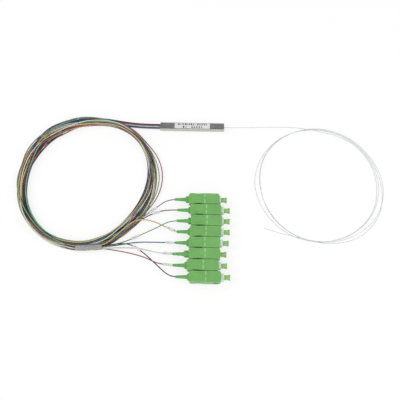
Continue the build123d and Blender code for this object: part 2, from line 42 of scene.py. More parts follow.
# Plug axes and module, with the CAD's values
FRAME_FRONT_X = (25.1, 27.6, 27.5, 27.6, 26.8, 25.0, 25.6, 28.0)
FIRST_PLUG_Y = -69.0
PLUG_PITCH = 9.3
PLUG_AXIS_HEIGHT = 4.5
BOOT_TIP_BEHIND_FRONT = 37.7
CHANNELS_PER_ROW = 4
ROW_PITCH = 1.1
TUBE_MIDDLE_HEIGHT = 2.0

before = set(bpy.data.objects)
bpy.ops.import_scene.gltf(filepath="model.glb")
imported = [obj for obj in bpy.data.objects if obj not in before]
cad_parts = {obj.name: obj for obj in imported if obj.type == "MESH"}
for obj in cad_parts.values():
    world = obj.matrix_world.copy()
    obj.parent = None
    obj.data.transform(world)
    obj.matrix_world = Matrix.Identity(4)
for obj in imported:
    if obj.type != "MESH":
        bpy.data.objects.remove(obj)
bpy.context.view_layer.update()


def at_boot(channel, behind_tip):
    """A point on a plug's axis, so far behind the tip of its boot (negative: inside the boot)."""
    tip = FRAME_FRONT_X[channel] - BOOT_TIP_BEHIND_FRONT
    return (tip - behind_tip, FIRST_PLUG_Y - PLUG_PITCH * channel, PLUG_AXIS_HEIGHT)


def at_module(channel, x, y):
    """A point of the output bundle, where the fibres lie four abreast and two high."""
    column = channel % CHANNELS_PER_ROW - (CHANNELS_PER_ROW - 1) / 2
    row = channel // CHANNELS_PER_ROW - 0.5
    return (x, y + column * ROW_PITCH, TUBE_MIDDLE_HEIGHT + row * ROW_PITCH)


# Clear sleeve at the coil's foot, through which the eight fibres leave the coil
SLEEVE_LINE = ((-90.2, -111.2), (-80.2, -111.5), (-69.0, -110.5))
SLEEVE_HEIGHT = 3.0
SLEEVE_HALF_WIDTH = 2.4
SLEEVE_HALF_HEIGHT = 1.85
SLEEVE_WALL = 0.25

# Where each fibre lies in the sleeve's section, as (towards the coil's outside, up)
SLEEVE_SEATS = (
    (-1.35, 0.0),
    (-0.45, 0.0),
    (0.45, 0.0),
    (-0.9, 0.8),
    (0.0, -0.85),
    (1.35, 0.0),
    (0.9, -0.8),
    (0.0, 0.8),
)


def through_sleeve(channel):
    """A fibre's points in the sleeve."""
    outward, up = SLEEVE_SEATS[channel]
    return [(x, y - outward, SLEEVE_HEIGHT + up) for x, y in SLEEVE_LINE]


# Routes where the fibres aren't coiled: the CAD's points, some moved to follow the photograph
BUNDLE_LINE = ((-23.5, 0.0), (-36.0, 0.0), (-49.5, 0.6), (-63.0, 2.6), (-76.0, 5.0))
LEADS = (
    [
        *through_sleeve(0),
        (-58.7, -102.9, 3.2),
        (-46.5, -91.0, 2.9),
        (-36.2, -82.9, 2.7),
        (-26.1, -74.6, 2.4),
        at_boot(0, 5.3),
        at_boot(0, -2.9),
    ],
    [
        *through_sleeve(1),
        (-58.1, -104.0, 1.9),
        (-43.6, -90.2, 1.7),
        (-34.8, -82.7, 1.6),
        (-22.8, -78.1, 1.9),
        at_boot(1, 5.3),
        at_boot(1, -2.2),
    ],
    [
        *through_sleeve(2),
        (-61.5, -108.6, 2.3),
        (-49.6, -104.6, 1.6),
        (-36.6, -98.1, 1.8),
        (-24.5, -92.6, 3.6),
        at_boot(2, 5.5),
        at_boot(2, -2.4),
    ],
    [
        *through_sleeve(3),
        (-61.0, -104.0, 4.3),
        (-50.8, -92.9, 4.6),
        (-42.2, -86.6, 3.9),
        (-31.5, -86.2, 0.9),
        (-21.8, -90.7, 1.7),
        at_boot(3, 1.2),
        at_boot(3, -3.1),
    ],
    [
        *through_sleeve(4),
        (-55.6, -107.6, 0.55),
        (-41.5, -104.9, 0.7),
        at_boot(4, 14.2),
        at_boot(4, -2.2),
    ],
    [
        *through_sleeve(5),
        (-61.5, -110.7, 1.3),
        (-52.5, -110.0, 0.9),
        (-37.5, -110.4, 0.9),
        at_boot(5, 10.2),
        at_boot(5, -3.0),
    ],
    [
        *through_sleeve(6),
        (-61.5, -111.9, 0.7),
        (-48.5, -113.9, 0.55),
        (-34.5, -117.6, 0.9),
        at_boot(6, 10.3),
        at_boot(6, -3.0),
    ],
    [
        *through_sleeve(7),
        (-60.0, -108.0, 3.7),
        (-47.2, -107.0, 3.3),
        (-35.7, -114.4, 2.6),
        (-25.5, -123.4, 0.8),
        (-17.5, -131.2, 2.6),
        at_boot(7, 2.5),
        at_boot(7, -2.5),
    ],
)

# The run of its lead on which each number sleeve lies, and how far along that run
TAG_RUN_INDEX = (5, 5, 4, 7, 5, 6, 6, 4)
TAG_SHARE = (0.6, 0.65, 0.5, 0.62, 0.6, 0.45, 0.47, 0.5)

# Input fibre from the module to its coil, and from the coil to its bare end
INPUT_LEAD = (
    (23.5, 0.0, TUBE_MIDDLE_HEIGHT),
    (38.0, 0.0, TUBE_MIDDLE_HEIGHT),
    (54.0, 1.3, 0.6),
    (70.0, 2.2, 0.3),
    (86.0, 2.2, 0.3),
    (99.5, 0.9, 0.5),
)
INPUT_TAIL = ((90.0, -99.5, 1.7), (79.8, -97.2, 1.2), (69.9, -94.4, 0.5), (60.4, -90.9, 0.25))

# Output coil's middle line, as in the CAD
COIL_CENTRE = (-86.3, -52.4)
COIL_RADII = (54.2, 57.0)

# How far the pack's inner and outer edge lie outside that line, at equal angles anticlockwise from +X
COIL_INNER = (-5.0, -1.2, -0.9, -4.6, -6.8, -6.0, -4.8, -3.6, -2.2, -3.6, -7.2, -8.0)
COIL_OUTER = (4.2, 4.1, 3.6, 3.4, 5.4, 5.3, 3.9, 4.2, 3.8, 3.9, 3.6, 2.7)

# Stations round the ring, where the strands are packed on the section
FIRST_ANGLE = 80
STATION_STEP = 15
STATIONS = 360 // STATION_STEP
STATIONS_WOUND = 83
HOLD_STATIONS = 4
SLEEVE_ANGLES = (260, 275, 290)

# Strands before they are packed: how full the pack is, and how they wander across it, up and down
PACK_FILL = 0.78
TURNS_BELOW_TOP = 0.1
WANDERS_PER_TURN = 3.1
WANDER = 0.5
WANDER_SPREAD = 7.1
LIFT = 0.8
LIFT_SPREAD = 5.3
LIFT_SEED = SEED + 9

# Packing: its rounds, the gaps it keeps, and how far a strand settles and smooths in each round
PACKING_ROUNDS = 110
TIGHTENING_ROUNDS = 25
STRAND_GAP = OUTPUT_DIAMETER * 1.03
LEAST_DISTANCE = 0.05
FLOOR_GAP = 0.02
SETTLING = 0.05
SMOOTHING = 0.25

# Each channel's place across the pack in its last turn, as a share of the half width at equal angles
PLACES = (
    (0.9, 0.6, 0.3, 0.5, 0.1, 0.75, 0.65, 0.9, 0.7, 0.5, 0.35, 0.8),
    (0.5, 0.3, -0.6, 0.0, 0.6, 0.0, -0.7, -0.1, -0.4, -0.7, -0.2, 0.2),
    (0.6, 0.5, -0.2, -0.4, 0.1, 0.45, 0.85, -0.3, -0.75, -0.5, -0.2, 0.45),
    (0.1, -0.1, -0.6, -0.85, -0.1, 0.4, 0.15, 0.3, 0.1, 0.2, 0.1, -0.1),
    (-0.95, 0.3, 0.85, 0.4, -0.45, -0.92, -0.5, 0.1, 0.2, -0.1, -0.5, -0.85),
    (-0.45, -0.55, -0.1, -0.2, -0.65, -0.35, -0.35, 0.4, 0.5, 0.1, -0.5, -0.7),
    (0.3, 0.85, 0.1, -0.7, -0.95, -0.1, 0.4, 0.3, -0.1, 0.4, 0.6, 0.65),
    (0.7, 0.8, 0.5, 0.85, 0.4, -0.5, -0.92, -0.7, -0.1, -0.3, 0.1, 0.45),
)

# How many channels further on a strand takes its places from, in its last turn and each turn before
BORROWED = (0, 5, 3, 6)

# How much higher each channel's strand is set in the pack
CHANNEL_LIFT = (0.0, -0.3, 0.2, 0.45, -0.1, 0.45, 0.15, -0.3)

# Strands that stray from the pack: first station, and places outside the middle line from there on
STRAYS = {6: (65, (3.1, 7.0, 9.0, 7.9, 4.0)), 2: (65, (2.6, 4.8, 6.2, 5.0))}

# Input coil: radii of its turns, clockwise from the first angle
INPUT_CENTRE = (106.7, -51.0)
INPUT_STEP = 30
INPUT_FIRST_ANGLE = 60
INPUT_RADII = (
    (49.4, 48.7, 47.9, 49.3, 49.9, 51.0, 52.2, 52.2, 53.5, 52.6, 51.9, 50.8),
    (50.0, 49.4, 49.8, 49.8, 50.2, 51.2, 50.6, 48.6, 49.1, 51.4, 51.7, 51.2),
    (50.6, 50.3, 51.7, 55.2, 55.6, 51.9, 50.9, 49.1, 48.5, 50.9, 51.2, 51.8),
    (51.2, 51.2, 53.6, 54.0, 52.6, 51.4),
)

# Height of the input coil's first turn, and its rise per turn, the larger where the turns lie stacked
INPUT_HEIGHT = 0.25
INPUT_RISE = 0.13
INPUT_STACKED_RISE = 0.42
INPUT_STACKED_ANGLES = (90, 60, 120, 150, -90, -120)

# Shares of a control point, and of its two neighbours together, in the smooth line's nearest point
OWN_SHARE = 0.75
NEIGHBOUR_SHARE = 0.25


def control_radius(radius, step):
    """How far out control points so many degrees apart lie, for a smooth ring of a radius."""
    return radius / (OWN_SHARE + NEIGHBOUR_SHARE * math.cos(math.radians(step)))


def ring_point(angle, outward, height):
    """A control point of the output ring at an angle, so far outside the ring's middle line."""
    turn = math.radians(angle)
    return (
        COIL_CENTRE[0] + control_radius(COIL_RADII[0] + outward, STATION_STEP) * math.cos(turn),
        COIL_CENTRE[1] + control_radius(COIL_RADII[1] + outward, STATION_STEP) * math.sin(turn),
        height,
    )


def section_place(point):
    """A point's angle about the ring's centre, its offset outside the middle line, and its height."""
    across, along = point[0] - COIL_CENTRE[0], point[1] - COIL_CENTRE[1]
    angle = math.atan2(along, across)
    middle = math.hypot(COIL_RADII[0] * math.cos(angle), COIL_RADII[1] * math.sin(angle))
    return math.degrees(angle), math.hypot(across, along) - middle, point[2]


def crossing(route, angle):
    """Where a route passes the ring's station at an angle: outward offset and height, or None."""
    for start, end in zip(route, route[1:]):
        first = section_place(start)[0]
        swing = (section_place(end)[0] - first + 180) % 360 - 180
        reach = (angle - first + 180) % 360 - 180
        if swing and 0 <= reach / swing <= 1:
            share = reach / swing
            return section_place([a + (b - a) * share for a, b in zip(start, end)])[1:]
    return None


def edge_at(offsets, angle):
    """A coil edge's offset at an angle, on a smooth closed line through the given ones."""
    place = angle % 360 / 360 * len(offsets)
    index, share = int(place), place % 1
    before, start, end, after = (offsets[(index + k) % len(offsets)] for k in (-1, 0, 1, 2))
    bend = 2 * before - 5 * start + 4 * end - after
    twist = 3 * (start - end) + after - before
    return start + share * (end - before + share * (bend + share * twist)) / 2


def ring_limits(angle):
    """How far the middle of a strand may lie inside and outside the ring's middle line."""
    radius = OUTPUT_DIAMETER / 2
    return edge_at(COIL_INNER, angle) + radius, edge_at(COIL_OUTER, angle) - radius


def stray_place(channel, station):
    """How far outside the ring's middle line a stray strand lies at a station, or None."""
    first, places = STRAYS.get(channel, (0, ()))
    return places[station - first] if first <= station < first + len(places) else None


def part_stretch(near, other, near_next, other_next):
    """Moves two strands' stretches between neighbouring stations apart, by a strand's gap."""
    across, up = near[0] - other[0], near[1] - other[1]
    across_step = near_next[0] - other_next[0] - across
    up_step = near_next[1] - other_next[1] - up
    reach = across_step * across_step + up_step * up_step
    share = -(across * across_step + up * up_step) / reach if reach else 0.0
    share = min(1.0, max(0.0, share))
    across += across_step * share
    up += up_step * share
    distance = math.hypot(across, up)
    if distance >= STRAND_GAP:
        return
    if distance < LEAST_DISTANCE:
        across, up, distance = 0.0, math.copysign(LEAST_DISTANCE, up), LEAST_DISTANCE
    push = (STRAND_GAP - distance) / distance / ((1 - share) ** 2 + share**2) / 2
    for place, sign, weight in (
        (near, 1, 1 - share),
        (other, -1, 1 - share),
        (near_next, 1, share),
        (other_next, -1, share),
    ):
        place[0] += across * push * sign * weight
        place[1] += up * push * sign * weight


def clear_passer(place, passer):
    """Moves a place on a section off a lead or bundle fibre that passes there."""
    across, up = place[0] - passer[0], place[1] - passer[1]
    distance = math.hypot(across, up)
    if 0 < distance < STRAND_GAP:
        place[0] += across * (STRAND_GAP / distance - 1)
        place[1] += up * (STRAND_GAP / distance - 1)


def clear_sleeve(place, sleeve):
    """Moves a place on a section out of the sleeve, whose middle passes there."""
    across = (place[0] - sleeve[0]) / (SLEEVE_HALF_WIDTH + STRAND_GAP / 2)
    up = (place[1] - sleeve[1]) / (SLEEVE_HALF_HEIGHT + STRAND_GAP / 2)
    distance = math.hypot(across, up)
    if 0 < distance < 1:
        place[0] += (place[0] - sleeve[0]) * (1 / distance - 1)
        place[1] += (place[1] - sleeve[1]) * (1 / distance - 1)


def first_places(channel):
    """Where a channel's strand lies on each station's section before it is packed."""
    end = section_place(LEADS[channel][0])[1:]
    start = section_place(at_module(channel, *BUNDLE_LINE[-1]))[1:]
    strand = []
    for station in range(1, STATIONS_WOUND + 1):
        angle = FIRST_ANGLE + station * STATION_STEP
        inner, outer = ring_limits(angle)
        turn = station / STATIONS
        before_end = (STATIONS_WOUND - station) / STATIONS
        layer = min(int(before_end), len(BORROWED) - 1)
        share = edge_at(PLACES[(channel + BORROWED[layer]) % CHANNELS], angle)
        if layer:
            later = edge_at(PLACES[(channel + BORROWED[layer - 1]) % CHANNELS], angle)
            change = min(1, (before_end - layer) * STATIONS / HOLD_STATIONS)
            share = later + (share - later) * change
        wave = turn * WANDERS_PER_TURN
        share += WANDER * noise.noise(Vector((wave, channel * WANDER_SPREAD, SEED)))
        outward = (inner + outer + max(-1, min(1, share)) * (outer - inner)) / 2
        thickness = CHANNELS * len(BORROWED) * OUTPUT_DIAMETER**2 / (outer - inner + OUTPUT_DIAMETER)
        height = thickness * PACK_FILL * (1 - (before_end + TURNS_BELOW_TOP) / len(BORROWED))
        height += LIFT * noise.noise(Vector((wave, channel * LIFT_SPREAD, LIFT_SEED)))
        height += CHANNEL_LIFT[channel]
        for anchor, away in ((start, station), (end, STATIONS_WOUND + 1 - station)):
            hold = max(0, 1 - away / HOLD_STATIONS)
            outward += (anchor[0] - outward) * hold
            height += (anchor[1] - height) * hold
        stray = stray_place(channel, station)
        strand.append([outward if stray is None else stray, height])
    return strand


def wind_outputs():
    """Each channel's offsets at the ring's stations, packed so that no strand lies in another."""
    strands = [first_places(channel) for channel in range(CHANNELS)]
    wanted = [[list(place) for place in strand] for strand in strands]
    bundles = [[at_module(channel, x, y) for x, y in BUNDLE_LINE] for channel in range(CHANNELS)]
    sleeve_line = [(x, y, SLEEVE_HEIGHT) for x, y in SLEEVE_LINE]
    passers, sleeves = [], []
    for index in range(STATIONS):
        angle = FIRST_ANGLE + index * STATION_STEP
        met = [crossing(route, angle) for route in [*LEADS, *bundles]]
        passers.append([place for place in met if place])
        sleeves.append(None)
        if angle in SLEEVE_ANGLES:
            nearest = min(sleeve_line, key=lambda point: abs(section_place(point)[0] % 360 - angle))
            sleeves[-1] = section_place(nearest)[1:]
    stretches = [
        (strand[k], other[m], strand[k + 1], other[m + 1])
        for number, strand in enumerate(strands)
        for other in strands[number:]
        for k in range(len(strand) - 1)
        for m in range(k % STATIONS, len(other) - 1, STATIONS)
        if strand is not other or m > k
    ]
    for packing in range(PACKING_ROUNDS):
        smoothing = SMOOTHING if packing < PACKING_ROUNDS - TIGHTENING_ROUNDS else 0
        for strand, aims in zip(strands, wanted):
            for k in range(1, len(strand) - 1):
                for axis in (0, 1):
                    before, here, after = (strand[n][axis] - aims[n][axis] for n in (k - 1, k, k + 1))
                    strand[k][axis] += ((before + after) / 2 - here) * smoothing
        for stretch in stretches:
            part_stretch(*stretch)
        for channel, strand in enumerate(strands):
            for station, place in enumerate(strand, start=1):
                place[1] -= SETTLING if smoothing else 0
                for passer in passers[station % STATIONS]:
                    clear_passer(place, passer)
                sleeve = sleeves[station % STATIONS]
                if sleeve:
                    clear_sleeve(place, sleeve)
                inner, outer = ring_limits(FIRST_ANGLE + station * STATION_STEP)
                outer = max(outer, stray_place(channel, station) or outer)
                place[0] = max(inner, min(outer, place[0]))
                place[1] = max(OUTPUT_DIAMETER / 2 + FLOOR_GAP, place[1])
    return strands


# Steps of a cord's line between two control points, and how finely its section is rounded
LINE_STEPS = 4
SECTION_ROUNDING = 3


def make_cord(name, points, diameter, material):
    """A round cord along a smooth line whose control points are these, in millimetres."""
    curve = bpy.data.curves.new(name, "CURVE")
    curve.dimensions = "3D"
    curve.resolution_u = LINE_STEPS
    spline = curve.splines.new("NURBS")
    spline.points.add(len(points) - 1)
    for point, place in zip(spline.points, points):
        point.co = (place[0] * MM, place[1] * MM, place[2] * MM, 1)
    spline.order_u = 3
    spline.use_endpoint_u = True
    curve.bevel_depth = diameter / 2 * MM
    curve.bevel_resolution = SECTION_ROUNDING
    curve.use_fill_caps = True
    curve.materials.append(material)
    cord = bpy.data.objects.new(name, curve)
    bpy.context.collection.objects.link(cord)
    return cord


def mesh_of(piece):
    """The evaluated mesh of a curve or text object."""
    bpy.context.view_layer.update()
    depsgraph = bpy.context.evaluated_depsgraph_get()
    return bpy.data.meshes.new_from_object(piece.evaluated_get(depsgraph))


def line_of(cord):
    """The points of a cord's own line in millimetres, and the length up to each."""
    bare = bpy.data.objects.new("line", cord.data.copy())
    bare.data.bevel_depth = 0
    bpy.context.collection.objects.link(bare)
    line = [vertex.co / MM for vertex in mesh_of(bare).vertices]
    bpy.data.objects.remove(bare)
    lengths = [0.0]
    for start, end in zip(line, line[1:]):
        lengths.append(lengths[-1] + (end - start).length)
    return line, lengths


def nearest_distance(line, lengths, wanted):
    """The distance along a cord's line at which it passes nearest to a point."""
    best = (math.inf, 0.0)
    for start, end, length in zip(line, line[1:], lengths):
        run = end - start
        share = max(0.0, min(1.0, (wanted - start).dot(run) / run.length_squared))
        best = min(best, ((start + run * share - wanted).length, length + run.length * share))
    return best[1]


def along_line(line, lengths, distance):
    """The point at a distance along a cord's line, and the directions to its side and upward there."""
    index = next(i for i, length in enumerate(lengths) if length >= distance)
    start, end = line[index - 1], line[index]
    share = (distance - lengths[index - 1]) / (lengths[index] - lengths[index - 1])
    ahead = (end - start).normalized()
    aside = Vector((0, 0, 1)).cross(ahead).normalized()
    return start + (end - start) * share, aside, ahead.cross(aside)


def make_piece(name, vertices, faces, material, smooth=True):
    """A mesh object from points in millimetres."""
    mesh = bpy.data.meshes.new(name)
    mesh.from_pydata([Vector(vertex) * MM for vertex in vertices], [], faces)
    mesh.update()
    if smooth:
        mesh.polygons.foreach_set("use_smooth", [True] * len(mesh.polygons))
    mesh.materials.append(material)
    piece = bpy.data.objects.new(name, mesh)
    bpy.context.collection.objects.link(piece)
    return piece


def ring_faces(rings, sides):
    """The faces of a closed skin whose points go ring by ring, with the last ring next to the first."""
    faces = []
    for ring in range(rings):
        near, far = ring * sides, (ring + 1) % rings * sides
        for side in range(sides):
            after = (side + 1) % sides
            faces.append((near + side, near + after, far + after, far + side))
    return faces


def srgb(red, green, blue):
    """A colour as read from a screen, 0 to 255, in Blender's linear values."""
    linear = []
    for value in (red / 255, green / 255, blue / 255):
        linear.append(value / 12.92 if value <= 0.04045 else ((value + 0.055) / 1.055) ** 2.4)
    return (*linear, 1.0)


# The values between which most of a noise lies, the depth of a bump, and the rays of a rounded edge
NOISE_SPAN = (0.3, 0.7)
BUMP_DEPTH = 0.1
EDGE_RAYS = 4


def new_material(name):
    """A material with its nodes, links and main shader."""
    material = bpy.data.materials.new(name)
    material.use_nodes = True
    tree = material.node_tree
    return material, tree.nodes, tree.links, tree.nodes["Principled BSDF"]


def add_noise(nodes, links, scale, detail=2.0, stretch=(1, 1, 1)):
    """A noise in object space, stretched along the axes."""
    place = nodes.new("ShaderNodeTexCoord")
    mapping = nodes.new("ShaderNodeMapping")
    mapping.inputs["Scale"].default_value = stretch
    links.new(place.outputs["Object"], mapping.inputs["Vector"])
    pattern = nodes.new("ShaderNodeTexNoise")
    pattern.inputs["Scale"].default_value = scale
    pattern.inputs["Detail"].default_value = detail
    links.new(mapping.outputs["Vector"], pattern.inputs["Vector"])
    return pattern.outputs["Fac"]


def add_range(nodes, links, value, low, high, span=NOISE_SPAN):
    """A value spread over a range, from low at the span's start to high at its end."""
    spread = nodes.new("ShaderNodeMapRange")
    spread.inputs["From Min"].default_value = span[0]
    spread.inputs["From Max"].default_value = span[1]
    spread.inputs["To Min"].default_value = low
    spread.inputs["To Max"].default_value = high
    links.new(value, spread.inputs["Value"])
    return spread.outputs["Result"]


def add_math(nodes, links, operation, first, second):
    """Two values joined by an operation."""
    joined = nodes.new("ShaderNodeMath")
    joined.operation = operation
    links.new(first, joined.inputs[0])
    links.new(second, joined.inputs[1])
    return joined.outputs["Value"]


def add_tint(nodes, links, value, colour, variation):
    """A colour that varies a little round its written value."""
    ramp = nodes.new("ShaderNodeValToRGB")
    for element, place, side in zip(ramp.color_ramp.elements, NOISE_SPAN, (-1, 1)):
        element.position = place
        element.color = (*(min(1, part * (1 + side * variation)) for part in colour[:3]), 1)
    links.new(value, ramp.inputs["Fac"])
    return ramp.outputs["Color"]


def add_bump(nodes, links, height, strength, edge=0.0):
    """A bump from a height, over edges rounded by a small radius in millimetres."""
    bump = nodes.new("ShaderNodeBump")
    bump.inputs["Strength"].default_value = strength
    bump.inputs["Distance"].default_value = BUMP_DEPTH * MM
    links.new(height, bump.inputs["Height"])
    if edge:
        rounding = nodes.new("ShaderNodeBevel")
        rounding.samples = EDGE_RAYS
        rounding.inputs["Radius"].default_value = edge * MM
        links.new(rounding.outputs["Normal"], bump.inputs["Normal"])
    return bump.outputs["Normal"]


def plastic(name, colour, roughness=0.4, grain=0.15, grain_scale=3500, variation=0.07, edge=0.0):
    """Moulded or drawn plastic: a little uneven in colour and gloss, with a fine grain."""
    material, nodes, links, shader = new_material(name)
    broad = add_noise(nodes, links, scale=90, detail=3)
    links.new(add_tint(nodes, links, broad, srgb(*colour), variation), shader.inputs["Base Color"])
    gloss = add_range(nodes, links, broad, low=roughness - 0.05, high=roughness + 0.07)
    links.new(gloss, shader.inputs["Roughness"])
    fine = add_noise(nodes, links, grain_scale)
    links.new(add_bump(nodes, links, fine, grain, edge), shader.inputs["Normal"])
    return material


def clear_plastic(
    name, colour, variation, cloud_scale, gloss, clearness, ior, stretch=(1, 1, 1), bump=0.0
):
    """Cloudy plastic that lets some of the light through, with gloss as its range of roughness."""
    material, nodes, links, shader = new_material(name)
    cloud = add_noise(nodes, links, cloud_scale, 3, stretch)
    links.new(add_tint(nodes, links, cloud, srgb(*colour), variation), shader.inputs["Base Color"])
    links.new(add_range(nodes, links, cloud, *gloss), shader.inputs["Roughness"])
    if bump:
        links.new(add_bump(nodes, links, cloud, bump), shader.inputs["Normal"])
    shader.inputs["Transmission Weight"].default_value = clearness
    shader.inputs["IOR"].default_value = ior
    return material


def brushed_steel(name, colour, roughness):
    """Drawn stainless steel, with fine lines along X."""
    material, nodes, links, shader = new_material(name)
    lines = add_noise(nodes, links, scale=2500, stretch=(0.012, 1, 1))
    blotches = add_noise(nodes, links, scale=180, detail=3)
    tint = add_tint(nodes, links, lines, srgb(*colour), variation=0.12)
    links.new(tint, shader.inputs["Base Color"])
    gloss = add_range(nodes, links, blotches, low=roughness - 0.06, high=roughness + 0.08)
    links.new(gloss, shader.inputs["Roughness"])
    links.new(add_bump(nodes, links, lines, strength=0.25, edge=0.15), shader.inputs["Normal"])
    shader.inputs["Metallic"].default_value = 1.0
    return material


def dress(node, material):
    """Gives a CAD node a material."""
    slots = bpy.data.objects[node].data.materials
    slots.clear()
    slots.append(material)


# Output fibres, in the colours of the plugs from the top one down
FIBRE_COLOURS = (
    ("slate", (128, 124, 130)),
    ("brown", (94, 76, 70)),
    ("green", (120, 164, 114)),
    ("orange", (208, 178, 120)),
    ("blue", (56, 82, 128)),
    ("white", (204, 218, 208)),
    ("red", (158, 84, 98)),
    ("black", (58, 58, 54)),
)
output_cords = []
for channel, (turns, (name, colour)) in enumerate(zip(wind_outputs(), FIBRE_COLOURS)):
    plug = channel + 1
    points = [at_module(channel, x, y) for x, y in BUNDLE_LINE]
    for station, (outward, height) in enumerate(turns, start=1):
        points.append(ring_point(FIRST_ANGLE + station * STATION_STEP, outward, height))
    points += LEADS[channel]
    jacket = plastic(f"fibre_{name}", colour, roughness=0.32, grain=0.05)
    cord = make_cord(f"output_cord_{plug}", points, OUTPUT_DIAMETER, jacket)
    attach(cord, "module")
    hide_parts(f"output_fibre_{plug}", "output_coil")
    line_of(cord)[1][-1] * MM
    output_cords.append(cord)

# Input fibre
points = list(INPUT_LEAD)
for turn, radii in enumerate(INPUT_RADII):
    for place, radius in enumerate(radii):
        angle = (INPUT_FIRST_ANGLE - place * INPUT_STEP + 180) % 360 - 180
        rise = INPUT_STACKED_RISE if angle in INPUT_STACKED_ANGLES else INPUT_RISE
        reach = control_radius(radius, INPUT_STEP)
        points.append(
            (
                INPUT_CENTRE[0] + reach * math.cos(math.radians(angle)),
                INPUT_CENTRE[1] + reach * math.sin(math.radians(angle)),
                INPUT_HEIGHT + rise * (turn + place / len(INPUT_RADII[0])),
            )
        )
points += INPUT_TAIL
jacket = plastic("input_fibre", (206, 211, 208), roughness=0.28, grain=0.05)
input_cord = make_cord("input_cord", points, INPUT_DIAMETER, jacket)
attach(input_cord, "module")
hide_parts("input_fibre", "input_coil")
line_of(input_cord)[1][-1] * MM

# Number sleeves on the leads
TAG_LENGTH = 7.4
TAG_RADIUS = 1.15
TAG_BORE_RADIUS = 0.7
TAG_RIM = 0.15
TAG_SIDES = 24
TAG_STEPS = 8
PRINT_LIFT = 0.02
DIGIT_SIZE = (0.65, 1.05)
DIGIT_BACK = TAG_LENGTH / 5

tag_plastic = clear_plastic(
    "sleeve",
    (240, 242, 240),
    variation=0.03,
    cloud_scale=400,
    gloss=(0.25, 0.45),
    clearness=0.25,
    ior=1.4,
)
tag_ink = plastic("sleeve_ink", (120, 120, 122), roughness=0.55, grain=0.05)
label_ink = plastic("label_ink", (44, 44, 46), roughness=0.55, grain=0.05)


def tag_profile():
    """A number sleeve's section as (distance along, radius), once round."""
    half = TAG_LENGTH / 2
    straight = TAG_LENGTH - 2 * TAG_RIM
    steps = [half - TAG_RIM - k * straight / TAG_STEPS for k in range(TAG_STEPS + 1)]
    outside = [(half, TAG_RADIUS - TAG_RIM), *((step, TAG_RADIUS) for step in steps)]
    inside = [(step, TAG_BORE_RADIUS) for step in (-half, *reversed(steps), half)]
    return [*outside, (-half, TAG_RADIUS - TAG_RIM), *inside]


def text_mesh(body, width, height, boldness=0.0):
    """Numbers as a flat mesh of a width and height, centred on the origin, as points and faces."""
    font = bpy.data.curves.new("print", "FONT")
    font.body = body
    font.offset = boldness
    piece = bpy.data.objects.new("print", font)
    bpy.context.collection.objects.link(piece)
    mesh = mesh_of(piece)
    bpy.data.objects.remove(piece)
    form = bmesh.new()
    form.from_mesh(mesh)
    bmesh.ops.triangulate(form, faces=form.faces)
    bmesh.ops.subdivide_edges(form, edges=form.edges, cuts=1)
    corners = [vertex.co.copy() for vertex in form.verts]
    faces = [[vertex.index for vertex in face.verts] for face in form.faces]
    form.free()
    low = Vector((min(corner.x for corner in corners), min(corner.y for corner in corners)))
    high = Vector((max(corner.x for corner in corners), max(corner.y for corner in corners)))
    size, middle = high - low, (high + low) / 2
    places = [
        ((corner.x - middle.x) / size.x * width, (corner.y - middle.y) / size.y * height)
        for corner in corners
    ]
    return places, faces


profile = tag_profile()
for channel, cord in enumerate(output_cords):
    line, lengths = line_of(cord)
    run = TAG_RUN_INDEX[channel]
    start, end = Vector(LEADS[channel][run]), Vector(LEADS[channel][run + 1])
    wanted = start + (end - start) * TAG_SHARE[channel]
    middle = nearest_distance(line, lengths, wanted)
    vertices = []
    for distance, radius in profile:
        point, aside, up = along_line(line, lengths, middle + distance)
        for side in range(TAG_SIDES):
            turn = 2 * math.pi * side / TAG_SIDES
            vertices.append(point + (aside * math.cos(turn) + up * math.sin(turn)) * radius)
    faces = ring_faces(len(profile), TAG_SIDES)
    tag = make_piece(f"number_sleeve_{channel + 1}", vertices, faces, tag_plastic)
    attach(tag, "module")
    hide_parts("number_tags")
    places, faces = text_mesh(str(channel + 1), *DIGIT_SIZE)
    vertices = []
    for across, upward in places:
        point, aside, up = along_line(line, lengths, middle + across - DIGIT_BACK)
        turn = upward / TAG_RADIUS
        outward = aside * math.sin(turn) + up * math.cos(turn)
        vertices.append(point + outward * (TAG_RADIUS + PRINT_LIFT))
    number = make_piece(f"sleeve_number_{channel + 1}", vertices, faces, tag_ink, smooth=False)
    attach(number, "module")

